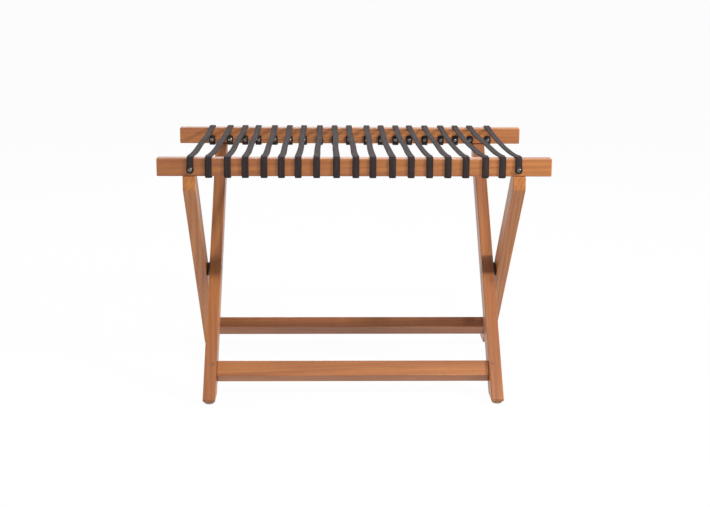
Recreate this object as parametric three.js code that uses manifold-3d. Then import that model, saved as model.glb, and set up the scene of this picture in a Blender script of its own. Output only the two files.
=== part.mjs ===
// Folding luggage rack: two timber frames crossed on a pivot, with leather strips between their rails.
// Millimetres, +Z up, +X along the rails, the front at -Y, the floor at z = 0.
import * as THREE from 'three';
import { mergeVertices } from 'three/addons/utils/BufferGeometryUtils.js';
import Module from 'manifold-3d';

const wasm = await Module();
wasm.setup();

// Overall sizes, open
const TOP = 456; // the rails' top faces
const OPEN_DEPTH = 446; // over the rails' outer faces
const PIVOT_HEIGHT = 205;
const RAIL_LENGTH = 700;
const LEG_FROM_END = 57; // from a rail's end to the middle of an outer leg
const CLEAR = 0.3; // between pieces that touch

// Timber
const RAIL_THICK = 24;
const RAIL_TALL = 32;
const RAIL_EASE = 2.2; // chamfer along a rail's edges and round its ends
const LEG_WIDE = 23;
const LEG_DEEP = 39;
const LEG_EASE = 1.2;
const LEG_GAP = 5; // between an outer leg and the inner leg beside it
const LEG_INSET = 2; // a leg's middle line, inside the rail's outer face
const TOE_CUT = 5; // blunt end of a foot
const STRETCHER_THICK = 24;
const STRETCHER_TALL = 32;
const STRETCHER_EASE = 1.5;
const STRETCHER_DROP = 226; // from the pivot, down the leg

// Joints in the timber
const STUB_WIDE = 16; // a leg's stub tenon in the rail
const STUB_DEEP = 12;
const STUB_TALL = 8;
const TENON_LONG = 16; // a stretcher's tenon in the leg
const TENON_THICK = 12;
const TENON_TALL = 26;
const PEG_RADIUS = 3;
const PEG_LONG = 30;
const PEG_INSET = 4.5; // from the leg's middle towards the stretcher
const PEG_RISE = 4.2; // from the stretcher's middle, up the leg
const PEG_PROUD = 0.3; // above the leg's face

// Pivot and feet
const BOLT_RADIUS = 4;
const BOLT_HEAD_RADIUS = 8;
const BOLT_HEAD_THICK = 2.5;
const BOLT_PROUD = 0.8; // a head above the leg's face
const BOLT_SOCKET_RADIUS = 2.9;
const BOLT_SOCKET_DEEP = 2;
const WASHER_RADIUS = 13;
const GLIDE_RADIUS = 10;
const GLIDE_TALL = 6;
const GLIDE_FLAT = 5; // radius that stands on the floor
const GLIDE_DOME = 4; // from there the rounded rim rises by this
const GLIDE_FROM_TOE = 12; // from the foot's front edge to the middle of the glide
const GLIDE_PIN_RADIUS = 2.5;
const GLIDE_PIN_LONG = 10;

// Strips and their screws
const STRAP_COUNT = 19;
const STRAP_WIDE = 12;
const STRAP_THICK = 3;
const STRAP_SAG = 6;
const FRONT_STRAP_INSET = 14; // from an outer leg to the strip beside it
const BACK_STRAP_INSET = 0.5; // from an inner leg to the strip beside it
const END_STRAP_GAP = 1; // from an inner leg to the end strip outside it
const END_STRAP_INSET = 2.5; // from the middle of an outer leg, on the front rail
const STRAP_TAIL = 10; // past the screw
const END_STRAP_TAIL = 5.5; // past the screw on the front face
const SCREW_RISE = 8; // above the rail's underside
const END_SCREW_DROP = 20; // below the rail's top, on the front face
const SCREW_RADIUS = 1.75;
const SCREW_LONG = 16;
const SCREW_HEAD_RADIUS = 3.6;
const SCREW_HEAD_TALL = 2.4;
const CUP_RADIUS = 6.8;
const CUP_THICK = 1.4;

// The strips are laid by hand: how far each one between the end strips stands from its even place
const FRONT_DRIFT = [3, 4, 2.5, 3, 1, -2, -2, 0.5, 2, -0.5, 1.5, 2, 2, 2, 1, 3, 0.5];
const BACK_DRIFT = [0, 0, -3.5, -1, -1, -2.5, -0.5, -1, -2.5, 3, 1.5, 1, -1.5, -0.5, 1.5, 0.5, 0];

// Facets
const ROUND_SIDES = 24;
const PEG_SIDES = 12;
const SCREW_SIDES = 10;
const TURN_STEPS = 2;
const SAG_STEPS = 12;

// Worked out from the sizes above
const SEAT = TOP - RAIL_TALL; // the rails' undersides
const REACH = OPEN_DEPTH / 2; // from the middle to a rail's outer face
const RAIL_INNER = REACH - RAIL_THICK;
const LEAN = Math.atan2(REACH - LEG_INSET, SEAT - PIVOT_HEIGHT);
const OUTER_LEG_X = RAIL_LENGTH / 2 - LEG_FROM_END;
const INNER_LEG_X = OUTER_LEG_X - LEG_WIDE - LEG_GAP;
const OUTER_FACE_X = OUTER_LEG_X + LEG_WIDE / 2;
const INNER_FACE_X = INNER_LEG_X - LEG_WIDE / 2;
const LEG_TOP = SEAT - CLEAR;
const HALF_DEEP = LEG_DEEP / 2;

// The two frames: out is the Y sign of the side that the rail is on, and head says on which side
// of its legs the pivot bolt is sunk, +1 away from the middle of the rack
const OUTER = {
  out: -1,
  head: 1,
  legX: OUTER_LEG_X,
  leg: 'outer_leg',
  rail: 'front_rail',
  stretcher: 'back_stretcher',
};
const INNER = {
  out: 1,
  head: -1,
  legX: INNER_LEG_X,
  leg: 'inner_leg',
  rail: 'back_rail',
  stretcher: 'front_stretcher',
};
const SIDES = [['left', -1], ['right', 1]];

function finish(name, color, roughness, metalness) {
  return new THREE.MeshStandardMaterial({ name, color, roughness, metalness });
}

const timber = finish('timber', 0xb9794a, 0.5, 0);
const peg = finish('peg', 0x9a5f38, 0.6, 0);
const leather = finish('leather', 0x2c2a2b, 0.6, 0);
const steel = finish('steel', 0xb8b8b6, 0.3, 1);
const plastic = finish('plastic', 0xd9d4c8, 0.5, 0);

// Closed geometry to a solid, for cutting and joining
function solid(geometry) {
  const bare = geometry.clone();
  bare.deleteAttribute('normal');
  bare.deleteAttribute('uv');
  const merged = mergeVertices(bare, 1e-4);
  const vertProperties = new Float32Array(merged.attributes.position.array);
  const triVerts = new Uint32Array(merged.index.array);
  return new wasm.Manifold(new wasm.Mesh({ numProp: 3, vertProperties, triVerts }));
}

function geometryOf(manifold) {
  const mesh = manifold.getMesh();
  const geometry = new THREE.BufferGeometry();
  geometry.setAttribute('position', new THREE.Float32BufferAttribute(mesh.vertProperties, 3));
  geometry.setIndex(new THREE.Uint32BufferAttribute(mesh.triVerts, 1));
  return geometry;
}

function cut(body, tools) {
  return tools.reduce((left, tool) => left.subtract(solid(tool)), body);
}

function place(parent, name, geometry, material, x = 0, y = 0, z = 0) {
  const mesh = new THREE.Mesh(geometry, material);
  mesh.name = name;
  mesh.position.set(x, y, z);
  parent.add(mesh);
  return mesh;
}

// An outline in (y, z), drawn out along X, with the edges of its two ends chamfered by ease
function prism(outline, x0, x1, ease = 0) {
  const geometry = new THREE.ExtrudeGeometry(new THREE.Shape(outline), {
    depth: x1 - x0 - 2 * ease,
    bevelEnabled: ease > 0,
    bevelThickness: ease,
    bevelSize: ease,
    bevelOffset: -ease,
    bevelSegments: 1,
  });
  const turn = new THREE.Matrix4().makeBasis(
    new THREE.Vector3(0, 1, 0),
    new THREE.Vector3(0, 0, 1),
    new THREE.Vector3(1, 0, 0),
  );
  return geometry.applyMatrix4(turn).translate(x0 + ease, 0, 0);
}

// A rectangle in (y, z) about its middle, with its corners cut at 45 degrees
function easedOutline(wide, tall, ease) {
  const points = [];
  for (const [y, z] of [[1, -1], [1, 1], [-1, 1], [-1, -1]]) {
    const corner = [
      new THREE.Vector2(y * (wide / 2 - ease), (z * tall) / 2),
      new THREE.Vector2((y * wide) / 2, z * (tall / 2 - ease)),
    ];
    points.push(...(y === z ? corner.reverse() : corner));
  }
  return points;
}

function box(x0, x1, y0, y1, z0, z1) {
  const geometry = new THREE.BoxGeometry(x1 - x0, y1 - y0, z1 - z0);
  return geometry.translate((x0 + x1) / 2, (y0 + y1) / 2, (z0 + z1) / 2);
}

// A round bar along Y between two places
function barY(radius, y0, y1, x, z, sides) {
  return new THREE.CylinderGeometry(radius, radius, Math.abs(y1 - y0), sides).translate(x, (y0 + y1) / 2, z);
}

// A round bar along X between two places, on the pivot
function barX(radius, x0, x1) {
  const geometry = new THREE.CylinderGeometry(radius, radius, Math.abs(x1 - x0), ROUND_SIDES);
  return geometry.rotateZ(Math.PI / 2).translate((x0 + x1) / 2, 0, 0);
}

function lathe(profile, sides) {
  return new THREE.LatheGeometry(profile.map(([r, y]) => new THREE.Vector2(r, y)), sides);
}

// A leg is drawn in its frame's own plane: across is towards the rail's side, along is up the leg from
// the pivot. Reach is the level distance from the rack's middle, towards the rail's side.
const acrossAlong = (reach, height) => new THREE.Vector2(
  reach * Math.cos(LEAN) - (height - PIVOT_HEIGHT) * Math.sin(LEAN),
  reach * Math.sin(LEAN) + (height - PIVOT_HEIGHT) * Math.cos(LEAN),
);
const atHeight = (across, height) => new THREE.Vector2(
  across,
  (height - PIVOT_HEIGHT + across * Math.sin(LEAN)) / Math.cos(LEAN),
);
const atReach = (across, reach) => new THREE.Vector2(
  across,
  (reach - across * Math.cos(LEAN)) / Math.sin(LEAN),
);
const reachOf = (point) => point.x * Math.cos(LEAN) + point.y * Math.sin(LEAN);

const TOE_REACH = reachOf(atHeight(-HALF_DEEP, GLIDE_TALL)) + TOE_CUT;
const GLIDE_REACH = TOE_REACH + GLIDE_FROM_TOE;
const RAIL_MIDDLE = (RAIL_INNER + REACH) / 2;

function legOutline() {
  return [
    atHeight(-HALF_DEEP, LEG_TOP),
    atReach(-HALF_DEEP, TOE_REACH),
    acrossAlong(TOE_REACH, GLIDE_TALL),
    atHeight(HALF_DEEP, GLIDE_TALL),
    atReach(HALF_DEEP, REACH),
    acrossAlong(REACH, LEG_TOP),
  ];
}

function stubOutline() {
  const near = RAIL_MIDDLE - STUB_DEEP / 2;
  const far = RAIL_MIDDLE + STUB_DEEP / 2;
  const root = LEG_TOP - STUB_TALL / 4;
  return [
    acrossAlong(near, root),
    acrossAlong(far, root),
    acrossAlong(far, SEAT + STUB_TALL),
    acrossAlong(near, SEAT + STUB_TALL),
  ];
}

const facing = (outline, out) => outline.map((p) => new THREE.Vector2(out * p.x, p.y));

function pegHole(frame, side) {
  const x = side * (frame.legX - PEG_INSET);
  const face = -frame.out * (HALF_DEEP + CLEAR);
  const end = -frame.out * (HALF_DEEP + PEG_PROUD - PEG_LONG - CLEAR);
  return barY(PEG_RADIUS + CLEAR, face, end, x, PEG_RISE - STRETCHER_DROP, PEG_SIDES);
}

function mortise(frame, side) {
  const mouth = side * (frame.legX - LEG_WIDE / 2 - CLEAR);
  const end = side * (frame.legX - LEG_WIDE / 2 + TENON_LONG + CLEAR);
  const thick = TENON_THICK / 2 + CLEAR;
  const top = TENON_TALL / 2 + CLEAR - STRETCHER_DROP;
  const bottom = -TENON_TALL / 2 - CLEAR - STRETCHER_DROP;
  return box(Math.min(mouth, end), Math.max(mouth, end), -thick, thick, bottom, top);
}

function glideHole(frame, side) {
  const end = acrossAlong(GLIDE_REACH, GLIDE_TALL + (GLIDE_PIN_LONG + CLEAR) / 2);
  const hole = new THREE.CylinderGeometry(
    GLIDE_PIN_RADIUS + CLEAR,
    GLIDE_PIN_RADIUS + CLEAR,
    GLIDE_PIN_LONG + CLEAR + GLIDE_TALL,
    PEG_SIDES,
  );
  hole.translate(0, -GLIDE_TALL / 2, 0);
  hole.rotateX(Math.PI / 2 + frame.out * LEAN);
  return hole.translate(side * frame.legX, frame.out * end.x, end.y);
}

function boltHoles(frame, side) {
  const face = side * (frame.legX + (frame.head * LEG_WIDE) / 2);
  const back = side * (frame.legX - (frame.head * LEG_WIDE) / 2);
  const past = side * frame.head * CLEAR;
  const floor = face - side * frame.head * (BOLT_HEAD_THICK - BOLT_PROUD + CLEAR);
  return [
    barX(BOLT_RADIUS + CLEAR, face + past, back - past),
    barX(BOLT_HEAD_RADIUS + CLEAR, face + past, floor),
  ];
}

function leg(frame, side) {
  const x = side * frame.legX;
  const stem = prism(facing(legOutline(), frame.out), x - LEG_WIDE / 2, x + LEG_WIDE / 2, LEG_EASE);
  const stub = prism(facing(stubOutline(), frame.out), x - STUB_WIDE / 2, x + STUB_WIDE / 2);
  const holes = [mortise, pegHole, glideHole, boltHoles].flatMap((make) => make(frame, side));
  return geometryOf(cut(solid(stem).add(solid(stub)), holes));
}

function stretcher(frame) {
  const shoulder = frame.legX - LEG_WIDE / 2 - CLEAR;
  const end = frame.legX - LEG_WIDE / 2 + TENON_LONG;
  const bar = prism(easedOutline(STRETCHER_THICK, STRETCHER_TALL, STRETCHER_EASE), -shoulder, shoulder);
  const tenon = box(-end, end, -TENON_THICK / 2, TENON_THICK / 2, -TENON_TALL / 2, TENON_TALL / 2);
  const joined = solid(bar).add(solid(tenon)).translate([0, 0, -STRETCHER_DROP]);
  return geometryOf(cut(joined, SIDES.map(([, side]) => pegHole(frame, side))));
}

// Where each strip lies: its place along the front rail and along the back rail
function strapPlaces() {
  const inner = STRAP_COUNT - 2;
  const frontEdge = OUTER_LEG_X - LEG_WIDE / 2 - FRONT_STRAP_INSET - STRAP_WIDE / 2;
  const backEdge = INNER_FACE_X - BACK_STRAP_INSET - STRAP_WIDE / 2;
  const backEnd = INNER_LEG_X + LEG_WIDE / 2 + END_STRAP_GAP + STRAP_WIDE / 2;
  const frontEnd = OUTER_LEG_X - END_STRAP_INSET;
  const places = [{ front: -frontEnd, back: -backEnd, end: true }];
  for (let i = 0; i < inner; i++) {
    const share = (2 * i) / (inner - 1) - 1;
    const front = share * frontEdge + (FRONT_DRIFT[i] ?? 0);
    const back = share * backEdge + (BACK_DRIFT[i] ?? 0);
    places.push({ front, back, end: false });
  }
  places.push({ front: frontEnd, back: backEnd, end: true });
  return places;
}

// A screw's seat on a strip's end: its place, and tip, the Y sign of the way it points
const seatReach = STRAP_THICK + 2 * CLEAR;
const backScrew = (place) => ({ x: place.back, y: RAIL_INNER - seatReach, z: SEAT + SCREW_RISE, tip: 1 });
const frontScrew = (place) => place.end
  ? { x: place.front, y: -REACH - seatReach, z: TOP - END_SCREW_DROP, tip: 1 }
  : { x: place.front, y: -RAIL_INNER + seatReach, z: SEAT + SCREW_RISE, tip: -1 };

function screwHole(screw) {
  const end = screw.y + screw.tip * (SCREW_LONG + CLEAR);
  return barY(SCREW_RADIUS + CLEAR, screw.y, end, screw.x, screw.z, SCREW_SIDES);
}

function rail(frame, screws) {
  const outline = easedOutline(RAIL_THICK, RAIL_TALL, RAIL_EASE);
  const bar = prism(outline, -RAIL_LENGTH / 2, RAIL_LENGTH / 2, RAIL_EASE);
  bar.translate(0, frame.out * RAIL_MIDDLE, SEAT + RAIL_TALL / 2);
  const wide = STUB_WIDE / 2 + CLEAR;
  const deep = STUB_DEEP / 2 + CLEAR;
  const middle = frame.out * RAIL_MIDDLE;
  const roof = SEAT + STUB_TALL + CLEAR;
  const sockets = SIDES.map(([, side]) => side * frame.legX).map(
    (x) => box(x - wide, x + wide, middle - deep, middle + deep, SEAT - CLEAR, roof),
  );
  return geometryOf(cut(solid(bar), [...sockets, ...screws.map(screwHole)]));
}

// Stations along a strip: a point of its inner face and the direction to its outer face, in (reach, z)
const station = (reach, z, outward, up) => ({ reach, z, outward, up });

function turn(reach, z, from, to) {
  const hug = RAIL_EASE + CLEAR;
  const stations = [];
  for (let i = 0; i <= TURN_STEPS; i++) {
    const angle = from + ((to - from) * i) / TURN_STEPS;
    const [outward, up] = [Math.cos(angle), Math.sin(angle)];
    stations.push(station(reach + hug * outward, z + hug * up, outward, up));
  }
  return stations;
}

// From a strip's end round a rail to its top, or only up its outer face
function wrap(short) {
  const near = RAIL_INNER + RAIL_EASE;
  const far = REACH - RAIL_EASE;
  const low = SEAT + RAIL_EASE;
  const quarter = Math.PI / 2;
  const over = turn(far, TOP - RAIL_EASE, 0, quarter);
  if (short) {
    return [station(REACH + CLEAR, TOP - END_SCREW_DROP - END_STRAP_TAIL, 1, 0), ...over];
  }
  return [
    station(RAIL_INNER - CLEAR, SEAT + SCREW_RISE + STRAP_TAIL, -1, 0),
    ...turn(near, low, 2 * quarter, 3 * quarter),
    ...turn(far, low, 3 * quarter, 4 * quarter),
    ...over,
  ];
}

// Between the rails the strip drops at once and is flat in the middle: its drop falls with the fourth power
function sagStations() {
  const half = RAIL_INNER + RAIL_EASE;
  const stations = [];
  for (let i = 0; i <= SAG_STEPS; i++) {
    const y = half * Math.sin(Math.PI * (i / SAG_STEPS - 0.5));
    const drop = STRAP_SAG * (1 - (y / half) ** 4);
    const slope = (4 * STRAP_SAG * (y / half) ** 3) / half;
    const length = Math.hypot(slope, 1);
    stations.push(station(y, TOP + CLEAR - drop, -slope / length, 1 / length));
  }
  return stations;
}

function strap(place) {
  const toFront = (s) => station(-s.reach, s.z, -s.outward, s.up);
  const stations = [...wrap(place.end).map(toFront), ...sagStations(), ...wrap(false).reverse()];
  const half = RAIL_INNER + RAIL_EASE;
  const corners = stations.flatMap((s) => {
    const share = THREE.MathUtils.clamp((s.reach + half) / (2 * half), 0, 1);
    const x = THREE.MathUtils.lerp(place.front, place.back, share);
    const y = s.reach + s.outward * STRAP_THICK;
    const z = s.z + s.up * STRAP_THICK;
    const [x0, x1] = [x - STRAP_WIDE / 2, x + STRAP_WIDE / 2];
    return [x0, s.reach, s.z, x1, s.reach, s.z, x1, y, z, x0, y, z];
  });
  const faces = [0, 1, 2, 0, 2, 3];
  for (let i = 0; i < stations.length - 1; i++) {
    for (let k = 0; k < 4; k++) {
      const [a, b] = [4 * i + k, 4 * i + ((k + 1) % 4)];
      faces.push(a, a + 4, b, b, a + 4, b + 4);
    }
  }
  const last = 4 * (stations.length - 1);
  faces.push(last, last + 2, last + 1, last, last + 3, last + 2);
  const strip = new THREE.BufferGeometry();
  strip.setAttribute('position', new THREE.Float32BufferAttribute(corners, 3));
  strip.setIndex(faces);
  return geometryOf(cut(solid(strip), [frontScrew(place), backScrew(place)].map(screwHole)));
}

// A screw with its cup washer, seated at y = 0 with its head towards -Y
function strapScrew() {
  return lathe([
    [0, -CUP_THICK - SCREW_HEAD_TALL],
    [SCREW_HEAD_RADIUS * 0.6, -CUP_THICK - SCREW_HEAD_TALL * 0.8],
    [SCREW_HEAD_RADIUS, -CUP_THICK],
    [CUP_RADIUS, -CUP_THICK / 2],
    [CUP_RADIUS, 0],
    [SCREW_RADIUS, 0],
    [SCREW_RADIUS, SCREW_LONG - SCREW_RADIUS],
    [0, SCREW_LONG],
  ], SCREW_SIDES);
}

// A bolt with a flat head at each end, sunk in the two legs, and a six-sided socket in each head
function pivotBolt() {
  const half = (OUTER_FACE_X - INNER_FACE_X) / 2 + BOLT_PROUD;
  const bolt = lathe([
    [0, -half],
    [BOLT_HEAD_RADIUS, -half],
    [BOLT_HEAD_RADIUS, BOLT_HEAD_THICK - half],
    [BOLT_RADIUS, BOLT_HEAD_THICK - half],
    [BOLT_RADIUS, half - BOLT_HEAD_THICK],
    [BOLT_HEAD_RADIUS, half - BOLT_HEAD_THICK],
    [BOLT_HEAD_RADIUS, half],
    [0, half],
  ], ROUND_SIDES);
  const floor = half - BOLT_SOCKET_DEEP;
  const sockets = [-1, 1].map((end) => barY(BOLT_SOCKET_RADIUS, end * floor, end * (half + CLEAR), 0, 0, 6));
  return geometryOf(cut(solid(bolt), sockets));
}

function pivotWasher() {
  const half = LEG_GAP / 2 - CLEAR;
  const bore = BOLT_RADIUS + CLEAR;
  return lathe([
    [bore, -half],
    [WASHER_RADIUS, -half],
    [WASHER_RADIUS, half],
    [bore, half],
    [bore, -half],
  ], ROUND_SIDES);
}

function glide() {
  const rim = GLIDE_RADIUS - GLIDE_FLAT;
  const rounding = [0, 1, 2, 3, 4].map((step) => (step * Math.PI) / 8).map(
    (angle) => [GLIDE_FLAT + rim * Math.sin(angle), GLIDE_DOME * (1 - Math.cos(angle))],
  );
  return lathe([
    [0, 0],
    ...rounding,
    [GLIDE_RADIUS, GLIDE_TALL - CLEAR],
    [GLIDE_PIN_RADIUS, GLIDE_TALL - CLEAR],
    [GLIDE_PIN_RADIUS, GLIDE_TALL + GLIDE_PIN_LONG],
    [0, GLIDE_TALL + GLIDE_PIN_LONG],
  ], ROUND_SIDES).rotateX(Math.PI / 2);
}

// Legs, stretcher and pegs lean about the pivot, the rail and the glides stand upright
function buildFrame(frame, screws) {
  const group = new THREE.Group();
  const leaning = new THREE.Group();
  leaning.position.z = PIVOT_HEIGHT;
  leaning.rotation.x = -frame.out * LEAN;
  group.add(leaning);
  place(group, frame.rail, rail(frame, screws), timber);
  place(leaning, frame.stretcher, stretcher(frame), timber);
  for (const [name, side] of SIDES) {
    place(leaning, `${frame.leg}_${name}`, leg(frame, side), timber);
    const dowel = new THREE.CylinderGeometry(PEG_RADIUS, PEG_RADIUS, PEG_LONG, PEG_SIDES);
    const dowelX = side * (frame.legX - PEG_INSET);
    const dowelY = -frame.out * (HALF_DEEP + PEG_PROUD - PEG_LONG / 2);
    place(leaning, `${frame.stretcher}_peg_${name}`, dowel, peg, dowelX, dowelY, PEG_RISE - STRETCHER_DROP);
    const glideX = side * frame.legX;
    place(group, `${frame.leg}_glide_${name}`, glide(), plastic, glideX, frame.out * GLIDE_REACH);
  }
  return group;
}

function buildPivots() {
  const group = new THREE.Group();
  for (const [name, side] of SIDES) {
    const boltX = (side * (OUTER_FACE_X + INNER_FACE_X)) / 2;
    const bolt = place(group, `pivot_bolt_${name}`, pivotBolt(), steel, boltX, 0, PIVOT_HEIGHT);
    bolt.rotation.z = Math.PI / 2;
    const washerX = side * (OUTER_LEG_X - LEG_WIDE / 2 - LEG_GAP / 2);
    const washer = place(group, `pivot_washer_${name}`, pivotWasher(), plastic, washerX, 0, PIVOT_HEIGHT);
    washer.rotation.z = Math.PI / 2;
  }
  return group;
}

function buildStraps(places) {
  const group = new THREE.Group();
  places.forEach((spot, i) => {
    const number = String(i + 1).padStart(2, '0');
    place(group, `strap_${number}`, strap(spot), leather);
    const back = backScrew(spot);
    place(group, `back_screw_${number}`, strapScrew(), steel, back.x, back.y, back.z);
    if (spot.end) {
      const front = frontScrew(spot);
      place(group, `front_screw_${number}`, strapScrew(), steel, front.x, front.y, front.z);
    }
  });
  return group;
}

const places = strapPlaces();
const rack = new THREE.Group();
rack.add(buildFrame(OUTER, places.map(frontScrew)));
rack.add(buildFrame(INNER, places.map(backScrew)));
rack.add(buildPivots());
rack.add(buildStraps(places));

export default rack;
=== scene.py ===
# Folding luggage rack: oiled hardwood frames, black leather strips, and screws in cup washers.
# Metres, +Z up, +X along the rails, the front at -Y, the floor at z = 0.
import math

import bpy
import numpy as np
from mathutils import Matrix, Vector


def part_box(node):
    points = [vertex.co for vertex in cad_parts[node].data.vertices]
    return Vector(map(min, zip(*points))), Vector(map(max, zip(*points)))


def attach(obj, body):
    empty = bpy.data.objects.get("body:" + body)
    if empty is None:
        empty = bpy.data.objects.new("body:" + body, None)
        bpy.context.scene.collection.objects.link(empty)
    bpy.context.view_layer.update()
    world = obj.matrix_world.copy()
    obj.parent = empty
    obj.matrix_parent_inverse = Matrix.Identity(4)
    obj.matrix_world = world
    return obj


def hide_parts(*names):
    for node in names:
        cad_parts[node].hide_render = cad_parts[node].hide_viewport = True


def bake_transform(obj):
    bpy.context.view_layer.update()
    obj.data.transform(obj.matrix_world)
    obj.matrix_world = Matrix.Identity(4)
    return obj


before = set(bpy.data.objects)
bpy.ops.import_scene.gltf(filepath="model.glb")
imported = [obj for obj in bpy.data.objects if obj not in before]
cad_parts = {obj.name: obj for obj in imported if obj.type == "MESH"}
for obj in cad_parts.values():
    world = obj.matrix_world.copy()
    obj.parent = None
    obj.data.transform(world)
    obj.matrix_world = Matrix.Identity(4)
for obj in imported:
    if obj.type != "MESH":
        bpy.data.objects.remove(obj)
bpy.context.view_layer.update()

MM = 0.001
# Cosine past which two ways count as the same
NEARLY = 0.9
SIDES = {"left": -1, "right": 1}
STRIPS = [f"{number:02d}" for number in range(1, 20)]
END_STRIPS = ("01", "19")
RANDOM = np.random.default_rng(11)


def box_of(node):
    return tuple(np.array(corner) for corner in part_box(node))


# Sizes of the frame
RAIL_LOW, RAIL_HIGH = box_of("front_rail")
TOP = RAIL_HIGH[2]
SEAT = RAIL_LOW[2]
REACH = -RAIL_LOW[1]
RAIL_INNER = -RAIL_HIGH[1]
RAIL_HALF = RAIL_HIGH[0]
PIVOT_HEIGHT = np.mean(box_of("pivot_bolt_left"), axis=0)[2]
FOOT = box_of("outer_leg_left")[0][2]
FIT = 0.3 * MM
LEG_DEEP = 39 * MM
LEG_INSET = 2 * MM
TOE_CUT = 5 * MM
STRETCHER_THICK = 24 * MM
STRETCHER_TALL = 32 * MM
STRETCHER_DROP = 226 * MM
TENON_LONG = 16 * MM
LEAN = math.atan2(REACH - LEG_INSET, SEAT - PIVOT_HEIGHT)

# Rounding of the timber's edges
RAIL_ROUND = 2.4 * MM
LEG_ROUND = 1.6 * MM
STRETCHER_ROUND = 1.8 * MM
ARC = 5

# Strips
STRIP_WIDE = 12 * MM
STRIP_THICK = 3 * MM
STRIP_EDGE = 1.1 * MM
STRIP_CROWN = 0.13 * MM
LINE_PLACE = 4.2 * MM
LINE_HALF = 0.3 * MM
LINE_DEEP = 0.2 * MM
CROWN_SHARES = (0.4, 0.13)
STRIP_ARC = 5
STRIP_SAG = 6 * MM
SAG_RANGE = (0.7, 1.2)
SAG_STEPS = 41
STRIP_DRAW = 0.08
STRIP_WAVE = 0.9 * MM
WAVE_TURNS = 1.2
STRIP_TWIST = 0.12
END_ROUND = 2.5 * MM
END_BLUNT = 0.2 * MM
CORNER_STEPS = 9
TAIL_STEPS = 12
UNDER_STEPS = 3
FACE_STEPS = 4
STRIP_TAIL = 10 * MM
END_STRIP_TAIL = 5.5 * MM
SCREW_RISE = 8 * MM
END_SCREW_DROP = 20 * MM

# Screws, cup washers, bolts, spacers, glides and pegs
HEAD_RADIUS = 3.3 * MM
CUP_RADIUS = 6.8 * MM
CUP_TALL = 1.5 * MM
CUP_ROLL = 0.35 * MM
CUP_STEPS = 6
LIP_RADIUS = 4.0 * MM
HOLLOW_RADIUS = 2.8 * MM
HOLLOW_HEIGHT = 0.6 * MM
HEAD_DOME = 1.5 * MM
HEAD_FOOT = 0.3 * MM
HEAD_SEAT = CUP_TALL - 0.2 * MM
HEAD_RINGS = 13
CROSS_DEEP = 0.9 * MM
# Shares of the head's radius: its shoulder, its flat middle, and the cross recess
HEAD_SHOULDER = 0.97
HEAD_MIDDLE = 0.03
CROSS_HALF = 0.2
CROSS_REACH = 0.66
CROSS_EASE = 0.1
BOLT_HEAD_RADIUS = 8 * MM
BOLT_HEAD_THICK = 2.5 * MM
BOLT_RADIUS = 4 * MM
SOCKET_RADIUS = 2.9 * MM
SOCKET_DEEP = 0.7 * MM
SOCKET_FLOOR = 0.15 * MM
SOCKET_EASE_DEEP = 0.15 * MM
SOCKET_EASE_WIDE = 0.2 * MM
RIM_ROUND = 1.0 * MM
SPACER_RADIUS = 13 * MM
SPACER_EASE = 0.5 * MM
GLIDE_RADIUS = 10 * MM
GLIDE_FLAT = 5 * MM
GLIDE_DOME = 4 * MM
GLIDE_STEPS = 8
PEG_RADIUS = 3 * MM
PEG_LONG = 30 * MM
PEG_PROUD = 0.3 * MM
PEG_EASE = 0.4 * MM
ROUND = 48


class Value:
    """One shader socket: arithmetic on it adds Math nodes to the same shader."""

    def __init__(self, shader, socket):
        self.shader = shader
        self.socket = socket

    def __add__(self, other):
        return self.shader.math("ADD", self, other)

    def __sub__(self, other):
        return self.shader.math("SUBTRACT", self, other)

    def __rsub__(self, other):
        return self.shader.math("SUBTRACT", other, self)

    def __mul__(self, other):
        return self.shader.math("MULTIPLY", self, other)

    def __truediv__(self, other):
        return self.shader.math("DIVIDE", self, other)

    def __abs__(self):
        return self.shader.math("ABSOLUTE", self, 0.0)

    __radd__ = __add__
    __rmul__ = __mul__


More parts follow.
